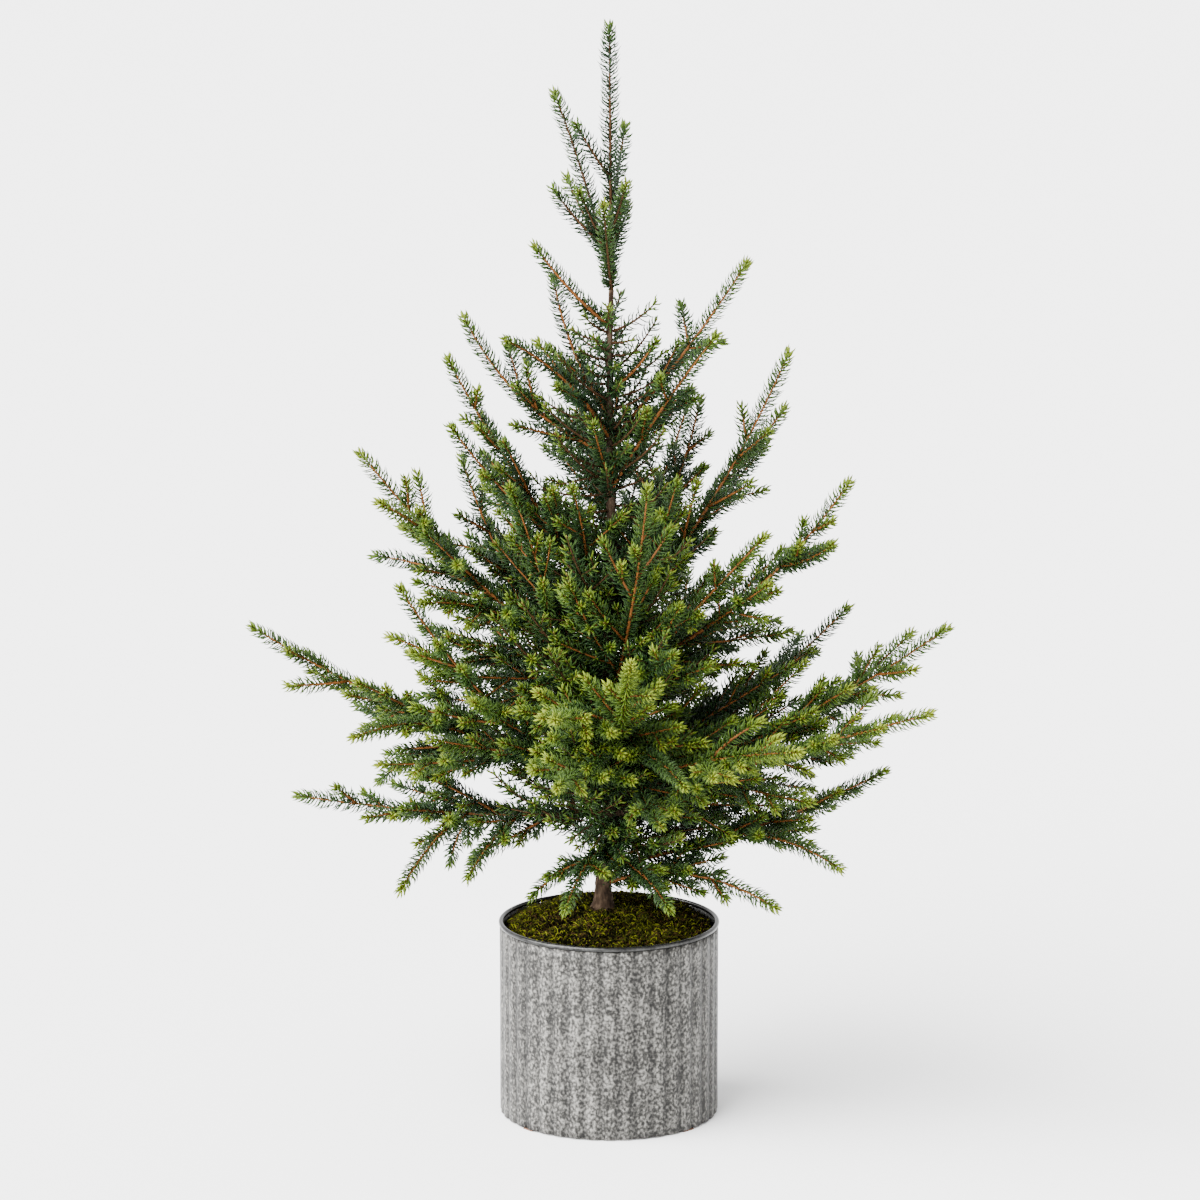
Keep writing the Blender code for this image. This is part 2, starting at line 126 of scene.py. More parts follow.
# Pot: a straight wall of thin galvanised sheet with forty shallow upright flutes, closed at the foot by
# a flat base. The zinc has a fine grey speckle and each flute its own tone, and the grooves get painted
# shade.
POT_RADIUS = 109 * MM
POT_BORE = 106.6 * MM
POT_TOP = 191.3 * MM
POT_FOOT = 1.5 * MM
POT_INSIDE = 176 * MM
LIP_STEP = 180 * MM
BASE_RADIUS = 98 * MM
FLUTES = 40
FLUTE_DEPTH = 1.3 * MM
STEPS_PER_FLUTE = 10
WALL_RINGS = 24
DENT_DEPTH = 0.35 * MM
DENTS_PER_METRE = 26
PANEL_SPREAD = 0.22
# painted shade: how much darker the bottom of a flute's groove is painted
GROOVE_PAINTED_SHADE = 0.5
ZINC = (
    (0.38, (0.010, 0.0095, 0.0085)),
    (0.47, (0.040, 0.0385, 0.0350)),
    (0.53, (0.085, 0.0820, 0.0750)),
    (0.62, (0.200, 0.1930, 0.1770)),
)
MIX_COLOUR_A, MIX_COLOUR_B, MIX_COLOUR_RESULT = 6, 7, 2


def build_mottle():
    """A group that gives a value from coarse and fine noise on Object coordinates, stretched along Z."""
    group = bpy.data.node_groups.new("mottle", "ShaderNodeTree")
    for label in ("Coarse", "Fine", "Stretch", "Share"):
        group.interface.new_socket(label, in_out="INPUT", socket_type="NodeSocketFloat")
    group.interface.new_socket("Value", in_out="OUTPUT", socket_type="NodeSocketFloat")
    nodes, links = group.nodes, group.links
    entry = nodes.new("NodeGroupInput")
    leave = nodes.new("NodeGroupOutput")
    place = nodes.new("ShaderNodeTexCoord")
    axes = nodes.new("ShaderNodeCombineXYZ")
    axes.inputs["X"].default_value = axes.inputs["Y"].default_value = 1
    links.new(entry.outputs["Stretch"], axes.inputs["Z"])
    mapping = nodes.new("ShaderNodeMapping")
    links.new(place.outputs["Object"], mapping.inputs["Vector"])
    links.new(axes.outputs["Vector"], mapping.inputs["Scale"])
    coarse = nodes.new("ShaderNodeTexNoise")
    fine = nodes.new("ShaderNodeTexNoise")
    for texture, label in ((coarse, "Coarse"), (fine, "Fine")):
        links.new(mapping.outputs["Vector"], texture.inputs["Vector"])
        links.new(entry.outputs[label], texture.inputs["Scale"])
        texture.inputs["Detail"].default_value = 4
    blend = nodes.new("ShaderNodeMix")
    links.new(entry.outputs["Share"], blend.inputs["Factor"])
    links.new(coarse.outputs["Fac"], blend.inputs["A"])
    links.new(fine.outputs["Fac"], blend.inputs["B"])
    links.new(blend.outputs["Result"], leave.inputs["Value"])
    return group


mottle_group = build_mottle()


def mottled_material(name, stops, roughness, metallic, bump, gloss=0.5,
                     coarse=60, fine=400, stretch=1, share=0.5):
    """A finish whose colour runs through stops by the mottle, with relief of the same grain."""
    made = plain_material(name, stops[0][1], roughness, metallic, gloss)
    nodes, links = made.node_tree.nodes, made.node_tree.links
    shader = nodes["Principled BSDF"]
    mottle = nodes.new("ShaderNodeGroup")
    mottle.node_tree = mottle_group
    for label, value in (("Coarse", coarse), ("Fine", fine), ("Stretch", stretch), ("Share", share)):
        mottle.inputs[label].default_value = value
    ramp = nodes.new("ShaderNodeValToRGB")
    while len(ramp.color_ramp.elements) < len(stops):
        ramp.color_ramp.elements.new(0.5)
    for element, (place, colour) in zip(ramp.color_ramp.elements, stops):
        element.position = place
        element.color = (*colour, 1)
    relief = nodes.new("ShaderNodeBump")
    relief.inputs["Strength"].default_value = bump
    relief.inputs["Distance"].default_value = MM
    links.new(mottle.outputs["Value"], ramp.inputs["Fac"])
    links.new(ramp.outputs["Color"], shader.inputs["Base Color"])
    links.new(mottle.outputs["Value"], relief.inputs["Height"])
    links.new(relief.outputs["Normal"], shader.inputs["Normal"])
    return made


def extrude_ring(shape, edges, radius=None, height=None):
    """Extrudes a ring of edges and moves the new ring to a radius and a height."""
    made = bmesh.ops.extrude_edge_only(shape, edges=edges)["geom"]
    for item in made:
        if isinstance(item, bmesh.types.BMVert):
            if radius is not None:
                item.co.x, item.co.y = item.co.to_2d().normalized() * radius
            if height is not None:
                item.co.z = height
    return [item for item in made if isinstance(item, bmesh.types.BMEdge)]


galvanised = mottled_material("galvanised_steel", ZINC, 0.5, 0.35, 0.6, 0.3, 40, 380, 0.8, 0.78)
nodes, links = galvanised.node_tree.nodes, galvanised.node_tree.links
# The wall's vertex colour multiplies the zinc. It holds each flute's own tone and the painted shade in its
# groove.
panel_tone = nodes.new("ShaderNodeAttribute")
panel_tone.attribute_name = "panel_tone"
toned = nodes.new("ShaderNodeMix")
toned.data_type = "RGBA"
toned.blend_type = "MULTIPLY"
toned.inputs["Factor"].default_value = 1
zinc_colour = nodes["Principled BSDF"].inputs["Base Color"]
links.new(zinc_colour.links[0].from_socket, toned.inputs[MIX_COLOUR_A])
links.new(panel_tone.outputs["Color"], toned.inputs[MIX_COLOUR_B])
links.new(toned.outputs[MIX_COLOUR_RESULT], zinc_colour)

wall_shape = bmesh.new()
tone_and_shade_layer = wall_shape.verts.layers.float_color.new("panel_tone")
panel_dice = random.Random(3)
panels = [panel_dice.uniform(1 - PANEL_SPREAD, 1) for flute in range(FLUTES)]
bmesh.ops.create_circle(wall_shape, segments=FLUTES * STEPS_PER_FLUTE, radius=POT_RADIUS, cap_ends=False,
                        matrix=Matrix.Translation((0, 0, POT_FOOT)))
ring = list(wall_shape.edges)
for step in range(WALL_RINGS):
    made = bmesh.ops.extrude_edge_only(wall_shape, edges=ring)["geom"]
    ring = [item for item in made if isinstance(item, bmesh.types.BMEdge)]
    bmesh.ops.translate(wall_shape, vec=(0, 0, (POT_TOP - POT_FOOT) / WALL_RINGS),
                        verts=[item for item in made if isinstance(item, bmesh.types.BMVert)])
for vert in wall_shape.verts:
    around = math.atan2(vert.co.y, vert.co.x)
    dip = FLUTE_DEPTH * (0.5 - 0.5 * math.cos(FLUTES * around)) ** 2
    dent = DENT_DEPTH * noise.noise(vert.co * DENTS_PER_METRE)
    scale = 1 - (dip + abs(dent)) / POT_RADIUS
    # painted shade: the flute's own tone is darkened by the depth of its groove
    tone = panels[int(around / math.tau * FLUTES) % FLUTES] * (1 - GROOVE_PAINTED_SHADE * dip / FLUTE_DEPTH)
    vert[tone_and_shade_layer] = (tone, tone, tone, 1)
    vert.co.x *= scale
    vert.co.y *= scale
open_edges = [edge for edge in wall_shape.edges if edge.is_boundary]
foot_ring = [edge for edge in open_edges if edge.verts[0].co.z < POT_TOP / 2]
top_ring = [edge for edge in open_edges if edge.verts[0].co.z > POT_TOP / 2]
inner = extrude_ring(wall_shape, top_ring, radius=POT_BORE)
inner = extrude_ring(wall_shape, inner, height=(POT_TOP + LIP_STEP) / 2)
inner = extrude_ring(wall_shape, inner, height=POT_INSIDE)
bmesh.ops.contextual_create(wall_shape, geom=inner)
under = extrude_ring(wall_shape, foot_ring, radius=BASE_RADIUS + POT_FOOT)
under = extrude_ring(wall_shape, under, radius=BASE_RADIUS, height=0)
bmesh.ops.contextual_create(wall_shape, geom=under)
bmesh.ops.recalc_face_normals(wall_shape, faces=wall_shape.faces)
pot = put_in_scene("pot_wall", smooth_mesh(wall_shape))
pot.data.materials.append(galvanised)
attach(pot, "root")
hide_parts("pot")


# Rim: the wall's top edge rolled round a steel wire. It is a smooth round bead of darker, shinier metal.
RIM_RADIUS = 107.6 * MM
RIM_HEIGHT = 194 * MM
RIM_WIRE = 2.4 * MM
RIM_SIDES = 16
RIM_STEPS = 160
RIM_STEEL = ((0.35, (0.012, 0.012, 0.012)), (0.65, (0.06, 0.06, 0.058)))

rim_shape = bmesh.new()
wire_place = Matrix.Translation((RIM_RADIUS, 0, RIM_HEIGHT)) @ Matrix.Rotation(math.pi / 2, 4, "X")
bmesh.ops.create_circle(rim_shape, segments=RIM_SIDES, radius=RIM_WIRE, matrix=wire_place)
bmesh.ops.spin(rim_shape, geom=rim_shape.verts[:] + rim_shape.edges[:], axis=(0, 0, 1), cent=(0, 0, 0),
               angle=math.tau, steps=RIM_STEPS, use_merge=True)
bmesh.ops.recalc_face_normals(rim_shape, faces=rim_shape.faces)
rim = put_in_scene("rim_bead", smooth_mesh(rim_shape))
rim.data.materials.append(mottled_material("rim_steel", RIM_STEEL, 0.28, 0.9, 0.1))
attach(rim, "root")
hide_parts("rim")


# Pads: four small rust-brown pads that the pot stands on. They keep the shape of the solids and only
# get their dull, mottled finish here.
PADS = 4
PAD_BROWN = ((0.4, (0.05, 0.02, 0.01)), (0.6, (0.14, 0.06, 0.03)))

pad_brown = mottled_material("pad_brown", PAD_BROWN, 0.85, 0.0, 0.3, coarse=200, fine=900)
for number in range(1, PADS + 1):
    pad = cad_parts[f"pad_{number}"]
    pad.data.materials.clear()
    pad.data.materials.append(pad_brown)


# Trunk: one stem that tapers from its flared foot in the moss to the leader, in grey-brown bark whose
# ridges and flakes stand in the mesh. The table gives height, x, y and radius in millimetres.
TRUNK = (
    (207.3, -6, 0, 13.5),
    (214, -6, 0, 10.2),
    (226, -6, 0, 8.4),
    (250, -4, 1, 7.6),
    (285, -1, 1, 7.2),
    (318, 0, 0, 6.8),
    (365, 1, -1, 6.4),
    (420, 0, -2, 5.9),
    (513, 0, 0, 5.2),
    (574, 3, 1, 4.7),
    (640, 1, 0, 4.2),
    (708, 1, -1, 3.6),
    (770, 0, 0, 3.0),
    (826, 2, 1, 2.5),
)
TRUNK_SIDES = 28
TRUNK_RUN = 2.5 * MM
BARK_RELIEF = 0.9 * MM
FULL_RELIEF_RADIUS = 6 * MM
RIDGES_PER_METRE = 420
FLAKES_PER_METRE = 330
RIDGE_SQUEEZE = 0.35
FLAKE_SQUEEZE = 0.5
FLAKE_SHARE = 0.5
BARK = (
    (0.36, (0.006, 0.004, 0.003)),
    (0.50, (0.030, 0.019, 0.012)),
    (0.64, (0.085, 0.058, 0.038)),
)


class Path:
    """A chain of points that is read by the distance along it."""

    def __init__(self, points):
        self.points = points
        self.marks = [0.0]
        for a, b in zip(points, points[1:]):
            self.marks.append(self.marks[-1] + (b - a).length)
        self.length = self.marks[-1]

    def piece(self, distance):
        return min(max(bisect_right(self.marks, distance) - 1, 0), len(self.points) - 2)

    def at(self, distance):
        i = self.piece(distance)
        share = (distance - self.marks[i]) / (self.marks[i + 1] - self.marks[i])
        return self.points[i].lerp(self.points[i + 1], share)

    def direction(self, distance):
        i = self.piece(distance)
        return (self.points[i + 1] - self.points[i]).normalized()


def trunk_at(height):
    """The middle and the radius of the trunk at a height in table units."""
    row = min(bisect_right([row[0] for row in TRUNK], height), len(TRUNK) - 1)
    low, high = TRUNK[row - 1], TRUNK[row]
    share = (height - low[0]) / (high[0] - low[0])
    z, x, y, radius = (a + (b - a) * share for a, b in zip(low, high))
    return Vector((x, y, z)) * MM, radius * MM


def along_path(path, distances):
    """Places and unit directions at distances along a path, and two directions across it."""
    points = np.array([tuple(point) for point in path.points])
    marks = np.array(path.marks)
    places = np.stack([np.interp(distances, marks, points[:, axis]) for axis in range(3)], axis=1)
    runs = np.diff(points, axis=0)
    runs /= np.linalg.norm(runs, axis=1, keepdims=True)
    middles = (marks[1:] + marks[:-1]) / 2
    along = np.stack([np.interp(distances, middles, runs[:, axis]) for axis in range(3)], axis=1)
    along /= np.linalg.norm(along, axis=1, keepdims=True)
    top = np.where(np.abs(along[:, 2:]) < 0.97, [[0.0, 0.0, 1.0]], [[1.0, 0.0, 0.0]])
    level = np.cross(along, top)
    level /= np.linalg.norm(level, axis=1, keepdims=True)
    return places, along, level, np.cross(level, along)


def grow_limb(shape, path, stop, radius_at, sides):
    """Extrudes a circle along a path into a limb with scaly relief, closed at both ends."""
    ring_verts = bmesh.ops.create_circle(shape, segments=sides, radius=1, cap_ends=False)["verts"]
    edges = list({edge for vert in ring_verts for edge in vert.link_edges})
    first_edges = edges
    rings = max(int(stop / TRUNK_RUN), 2)
    places, along, level, over = along_path(path, np.linspace(0, stop, rings + 1))
    for k in range(rings + 1):
        if k:
            new = bmesh.ops.extrude_edge_only(shape, edges=edges)["geom"]
            edges = [item for item in new if isinstance(item, bmesh.types.BMEdge)]
            ring_verts = [item for item in new if isinstance(item, bmesh.types.BMVert)]
            ring_verts.sort(key=lambda vert: vert.index)
        middle = Vector(places[k])
        radius = radius_at(middle, stop * k / rings)
        for number, vert in enumerate(ring_verts):
            angle = math.tau * number / sides
            out = Vector(level[k]) * math.cos(angle) + Vector(over[k]) * math.sin(angle)
            point = middle + out * radius
            ridge = noise.noise(Vector((point.x, point.y, point.z * RIDGE_SQUEEZE)) * RIDGES_PER_METRE)
            flake = noise.cell(Vector((point.x, point.y, point.z * FLAKE_SQUEEZE)) * FLAKES_PER_METRE)
            fade = min(radius / FULL_RELIEF_RADIUS, 1)
            vert.co = point + out * BARK_RELIEF * (ridge + FLAKE_SHARE * flake) * fade
        shape.verts.index_update()
    for ends in (first_edges, edges):
        bmesh.ops.contextual_create(shape, geom=ends)


bark = mottled_material("bark", BARK, 0.9, 0, 1.0, 0.05, 55, 300, 0.35)
trunk_path = Path([Vector((x, y, z)) * MM for z, x, y, radius in TRUNK])
trunk_shape = bmesh.new()
grow_limb(trunk_shape, trunk_path, trunk_path.length,
          lambda middle, mark: trunk_at(middle.z / MM)[1], TRUNK_SIDES)
bmesh.ops.recalc_face_normals(trunk_shape, faces=trunk_shape.faces)
trunk = put_in_scene("trunk_bark", smooth_mesh(trunk_shape))
trunk.data.materials.append(bark)
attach(trunk, "root")
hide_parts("trunk")


# Boughs: the main boughs spring from the trunk and bow a little on their way to the tip. Thirteen of them
# have bare wood in the trunk's bark for their first few centimetres. Degrees and millimetres.
Bough = namedtuple("Bough", "name height heading reach tip_height bow bare")
BOUGHS = (
    Bough("leader", 826, 90, 0, 1081, 0, 0),
    Bough("left_2", 790, 200, 76, 872, -4, 0),
    Bough("left_3", 702, 152, 62, 836, -10, 0),
    Bough("left_4", 680, 225, 139, 790, 12, 0),
    Bough("left_5", 664, 175, 142, 798, -19, 0),
    Bough("left_6", 520, 190, 158, 762, -8, 0),
    Bough("left_7", 400, 160, 155, 653, -18, 0),
    Bough("left_8", 430, 185, 243, 670, -12, 55),
    Bough("left_9", 320, 210, 232, 555, -17, 50),
    Bough("left_10", 343, 180, 351, 493, -17, 60),
    Bough("left_11", 304, 175, 312, 316, -8, 55),
    Bough("left_12", 252, 195, 80, 224, 10, 0),
    Bough("right_1", 727, 330, 52, 780, -4, 0),
    Bough("right_2", 678, 10, 136, 850, -5, 0),
    Bough("right_3", 628, 330, 119, 790, 4, 0),
    Bough("right_4", 520, 40, 118, 709, -18, 0),
    Bough("right_5", 480, 5, 176, 763, -13, 0),
    Bough("right_6", 440, 350, 236, 644, -23, 50),
    Bough("right_7", 412, 328, 177, 601, 2, 0),
    Bough("right_8", 348, 20, 255, 496, -17, 50),
    Bough("right_9", 318, 0, 333, 492, -14, 60),
    Bough("right_10", 300, 340, 330, 430, 6, 60),
    Bough("right_11", 250, 355, 273, 353, -11, 45),
    Bough("right_12", 232, 330, 188, 232, 22, 0),
    Bough("front_1", 500, 245, 95, 538, 6, 0),
    Bough("front_2", 410, 285, 141, 655, -14, 0),
    Bough("front_3", 372, 275, 228, 503, -16, 0),
    Bough("front_4", 330, 310, 277, 415, 8, 45),
    Bough("front_5", 360, 290, 208, 377, 18, 0),
    Bough("front_6", 385, 257, 232, 449, 8, 0),
    Bough("front_7", 345, 257, 220, 380, 12, 0),
    Bough("front_8", 268, 252, 138, 240, 14, 0),
    Bough("front_9", 258, 294, 144, 240, 14, 0),
    Bough("back_1", 600, 105, 150, 735, -12, 0),
    Bough("back_2", 540, 65, 190, 690, -14, 0),
    Bough("back_3", 465, 120, 250, 625, -16, 0),
    Bough("back_4", 395, 72, 290, 535, -16, 50),
    Bough("back_5", 335, 112, 320, 430, -14, 50),
    Bough("back_6", 285, 65, 310, 345, -10, 50),
)

# Large side branches: the bough that bears each, how far along it (0 to 1), its tip and its bow
LIMB_FOOT = 3.6 * MM
LIMB_TIP = 2.2 * MM
LIMB_SIDES = 12
UP = Vector((0, 0, 1))


def polar(heading, reach, height):
    """A point by its compass heading, its reach from the trunk's axis and its height."""
    angle = math.radians(heading)
    return Vector((reach * math.cos(angle), reach * math.sin(angle), height)) * MM


def arc(foot, tip, bow, steps=36):
    """A path from foot to tip whose middle stands bow above the straight line."""
    chord = tip - foot
    above = chord.cross(UP).cross(chord).normalized()
    shares = [i / steps for i in range(steps + 1)]
    return Path([foot + chord * t + above * bow * 4 * t * (1 - t) for t in shares])


bough_paths = {}
boughs_shape = bmesh.new()
for bough in BOUGHS:
    tip = polar(bough.heading, bough.reach, bough.tip_height)
    bough_paths[bough.name] = arc(trunk_at(bough.height)[0], tip, bough.bow * MM)
    if bough.bare:
        bare = bough.bare * MM
        grow_limb(boughs_shape, bough_paths[bough.name], bare + MM,
                  lambda middle, mark: LIMB_FOOT + (LIMB_TIP - LIMB_FOOT) * mark / bare, LIMB_SIDES)
bmesh.ops.recalc_face_normals(boughs_shape, faces=boughs_shape.faces)
boughs = put_in_scene("boughs_bark", smooth_mesh(boughs_shape))
boughs.data.materials.append(bark)
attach(boughs, "root")
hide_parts(*[f"bough_{bough.name}" for bough in BOUGHS if bough.bare])


# Shoots: each bough bears large side branches, side shoots to both sides of these, and short twigs on the
# longer shoots. Short inner shoots on the trunk hide it. All are slim closed tubes of orange-brown bark.
Branch = namedtuple("Branch", "bough along heading reach tip_height bow")
BRANCHES = (
    Branch("leader", 0.02, 170, 54, 1016, 4),
    Branch("leader", 0.15, 190, 55, 926, -4),
    Branch("leader", 0.15, 350, 14, 923, -2),
    Branch("left_5", 0.40, 185, 80, 758, -4),
    Branch("left_6", 0.22, 200, 162, 700, -6),
    Branch("left_8", 0.28, 205, 200, 533, 10),
    Branch("left_8", 0.42, 175, 232, 560, 8),
    Branch("left_8", 0.62, 200, 236, 631, 4),
    Branch("left_9", 0.60, 200, 227, 499, 6),
    Branch("left_10", 0.38, 205, 272, 407, 12),
    Branch("left_10", 0.30, 160, 247, 317, 14),
    Branch("left_11", 0.45, 205, 224, 250, 10),
    Branch("left_11", 0.28, 215, 168, 263, 8),
    Branch("left_11", 0.40, 160, 170, 238, 12),
    Branch("right_2", 0.55, 30, 81, 807, 0),
    Branch("right_5", 0.62, 20, 184, 701, -4),
    Branch("right_6", 0.66, 335, 236, 593, -4),
    Branch("right_8", 0.45, 40, 256, 451, -6),
    Branch("right_9", 0.60, 15, 314, 471, -4),
    Branch("right_10", 0.45, 350, 266, 387, 6),
    Branch("right_11", 0.45, 335, 247, 274, 10),
    Branch("front_4", 0.55, 320, 192, 425, 4),
    Branch("front_3", 0.30, 305, 110, 433, 4),
    Branch("front_3", 0.45, 250, 150, 440, 4),
    Branch("back_2", 0.50, 90, 150, 660, 2),
    Branch("back_3", 0.45, 150, 190, 560, 4),
    Branch("back_4", 0.45, 40, 225, 470, 4),
    Branch("back_5", 0.45, 142, 245, 390, 6),
    Branch("back_6", 0.45, 30, 240, 300, 6),
    Branch("back_6", 0.35, 95, 230, 290, 8),
)
SHOOT_STEP = 24 * MM
SHOOT_FIRST = 34 * MM
SHOOT_YOUNG = 450 * MM
SHOOT_YOUTH = 0.3
SHOOT_SHARE = 0.42
SHOOT_LONGEST = 110 * MM
SHOOT_SHORTEST = 24 * MM
SHOOT_ANGLE = 42
SHOOT_ROLL = 32
SHOOT_SWEEP = 2.0
SHOOT_PIECES = 8
LENGTH_SPREAD = (0.7, 1.3)
ANGLE_SPREAD = (-9, 9)
STEP_SPREAD = (0.8, 1.2)
TWIG_STEP = 17 * MM
TWIG_FIRST = 22 * MM
TWIG_SHARE = 0.5
TWIG_SHORTEST = 14 * MM
TWIG_START = 8 * MM
INNER_SHOOTS = 170
INNER_LOW = 268
INNER_HIGH = 800
INNER_REACH = (55, 125)
INNER_RISE = (0.1, 0.9)
INNER_TURN = (-20, 20)
INNER_REACH_LOW = 1.3
INNER_REACH_LOSS = 0.9
INNER_PIECES = 10
INNER_SAG = -0.08
INNER_START = 3 * MM
GOLDEN_ANGLE = 137.5
STEM_FOOT = 2.2 * MM
BARE_SHARE = 0.35
BRANCH_FOOT = 1.8 * MM
BRANCH_PIECES = 24
SIDE_FOOT = 1.5 * MM
TWIG_FOOT = 1.0 * MM
TIP_RADIUS = 0.7 * MM
KEPT_FROM_POT = 14 * MM
SHOOT_SIDES = 5
SHOOT_RUN = 11 * MM
YOUNG_BARK = (0.155, 0.055, 0.012)
OLD_BARK = (0.055, 0.026, 0.011)
YOUNG_SHADE = 0.6
OLD_SHADE = 0.5
STEM, BRANCH, SIDE_SHOOT, TWIG = range(4)
Shoot = namedtuple("Shoot", "path start foot_radius tip_radius rank")


def side_shoots(seed, bearer, start, step=SHOOT_STEP, first=SHOOT_FIRST, share=SHOOT_SHARE,
                shortest=SHOOT_SHORTEST):
    """Paths of the shoots that stand to both sides of a bearer, shorter towards its tip."""
    dice = random.Random(seed)
    shoots = []
    back = first + SHOOT_YOUTH * max(bearer.points[0].z - SHOOT_YOUNG, 0)
    side = dice.choice((0, 180))
    while bearer.length - back > start:
        spread = dice.uniform(*LENGTH_SPREAD)
        angle = math.radians(SHOOT_ANGLE + dice.uniform(*ANGLE_SPREAD))
        roll = math.radians(side + dice.gauss(0, SHOOT_ROLL))
        length = min(share * back, SHOOT_LONGEST) * spread
        along = bearer.direction(bearer.length - back)
        level = along.cross(UP if abs(along.z) < 0.95 else Vector((1, 0, 0))).normalized()
        outward = level * math.cos(roll) + level.cross(along) * math.sin(roll)
        heading = along * math.cos(angle) + outward * math.sin(angle)
        foot = bearer.at(bearer.length - back)
        steps = [length * i / SHOOT_PIECES for i in range(SHOOT_PIECES + 1)]
        shoots.append(Path([foot + heading * s + along * SHOOT_SWEEP * s * s for s in steps]))
        back += step * dice.uniform(*STEP_SPREAD)
        side += 180
    return [shoot for shoot in shoots if shoot.length > shortest]


def clear_of_pot(path):
    """Whether a shoot keeps off the pot's rim and the moss, but for its foot."""
    for share in (0.4, 0.7, 1.0):
        point = path.at(path.length * share * 0.999)
        if point.z < RIM_HEIGHT + KEPT_FROM_POT and point.to_2d().length < POT_RADIUS + KEPT_FROM_POT:
            return False
    return True


def tube_points(shoot):
    """Rings of corners along a shoot, as one list, with the number of rings."""
    rings = max(int((shoot.path.length - shoot.start) / SHOOT_RUN), 2) + 1
    distances = np.linspace(shoot.start, shoot.path.length, rings)
    places, along, level, over = along_path(shoot.path, distances)
    radii = np.linspace(shoot.foot_radius, shoot.tip_radius, rings)[:, None, None]
    turns = np.arange(SHOOT_SIDES) * math.tau / SHOOT_SIDES
    spokes = (level[:, None, :] * np.cos(turns)[None, :, None]
              + over[:, None, :] * np.sin(turns)[None, :, None])
    return (places[:, None, :] + spokes * radii).reshape(-1, 3), rings


def tubes_mesh(name, chosen):
    """One mesh of closed five-sided tubes."""
    corners, faces, shift = [], [], 0
    for shoot in chosen:
        points, rings = tube_points(shoot)
        corners.append(points)
        faces.append([shift + side for side in range(SHOOT_SIDES)])
        for ring_number in range(rings - 1):
            low_corner = shift + ring_number * SHOOT_SIDES
            for side in range(SHOOT_SIDES):
                after = (side + 1) % SHOOT_SIDES
                faces.append((low_corner + side, low_corner + SHOOT_SIDES + side,
                              low_corner + SHOOT_SIDES + after, low_corner + after))
        last = shift + (rings - 1) * SHOOT_SIDES
        faces.append([last + side for side in reversed(range(SHOOT_SIDES))])
        shift += len(points)
    mesh = bpy.data.meshes.new(name)
    mesh.from_pydata(np.concatenate(corners).tolist(), [], faces)
    mesh.polygons.foreach_set("use_smooth", [True] * len(faces))
    return mesh


masses = {}
for bough in BOUGHS:
    stem = Shoot(bough_paths[bough.name], BARE_SHARE * bough.bare * MM, STEM_FOOT, TIP_RADIUS, STEM)
    masses[bough.name] = [(bough.name, stem)]
for number, branch in enumerate(BRANCHES):
    bearer = bough_paths[branch.bough]
    tip = polar(branch.heading, branch.reach, branch.tip_height)
    path = arc(bearer.at(branch.along * bearer.length), tip, branch.bow * MM, BRANCH_PIECES)
    masses[branch.bough].append((f"branch_{number}", Shoot(path, 0, BRANCH_FOOT, TIP_RADIUS, BRANCH)))
dice = random.Random(11)
masses["inner"] = []
for number in range(INNER_SHOOTS):
    height = INNER_LOW + (INNER_HIGH - INNER_LOW) * (number + dice.random()) / INNER_SHOOTS
    youth = (height - INNER_LOW) / (INNER_HIGH - INNER_LOW)
    heading = GOLDEN_ANGLE * number + dice.uniform(*INNER_TURN)
    reach = dice.uniform(*INNER_REACH) * (INNER_REACH_LOW - INNER_REACH_LOSS * youth)
    foot = trunk_at(height)[0]
    tip = foot + polar(heading, reach, reach * dice.uniform(*INNER_RISE))
    path = arc(foot, tip, INNER_SAG * reach * MM, INNER_PIECES)
    shoot = Shoot(path, INNER_START, SIDE_FOOT, TIP_RADIUS, SIDE_SHOOT)
    masses["inner"].append((f"inner_{number}", shoot))
for members in masses.values():
    for seed, shoot in list(members):
        if shoot.rank < SIDE_SHOOT:
            for number, path in enumerate(side_shoots(seed, shoot.path, shoot.start)):
                members.append((f"{seed}_{number}", Shoot(path, 0, SIDE_FOOT, TIP_RADIUS, SIDE_SHOOT)))
    for seed, shoot in list(members):
        if shoot.rank == SIDE_SHOOT and shoot.path.length > 2 * TWIG_FIRST:
            for path in side_shoots(seed, shoot.path, TWIG_START, TWIG_STEP, TWIG_FIRST, TWIG_SHARE,
                                    TWIG_SHORTEST):
                members.append((seed, Shoot(path, 0, TWIG_FOOT, TIP_RADIUS, TWIG)))
masses = {name: [shoot for seed, shoot in members if shoot.rank < SIDE_SHOOT or clear_of_pot(shoot.path)]
          for name, members in masses.items()}

young_stops = ((0.35, tuple(YOUNG_SHADE * part for part in YOUNG_BARK)), (0.65, YOUNG_BARK))
old_stops = ((0.35, tuple(OLD_SHADE * part for part in OLD_BARK)), (0.65, OLD_BARK))
young_bark = mottled_material("young_bark", young_stops, 0.6, 0, 0.3, 0.12, 150, 700, 0.5)
old_bark = mottled_material("old_bark", old_stops, 0.8, 0, 0.5, 0.08, 120, 600, 0.5)
for name, members in masses.items():
    label = f"shoots_of_{name}"
    piece = put_in_scene(label, tubes_mesh(label, members))
    piece.data.materials.append(old_bark if name in ("inner", "leader") else young_bark)
    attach(piece, "root")
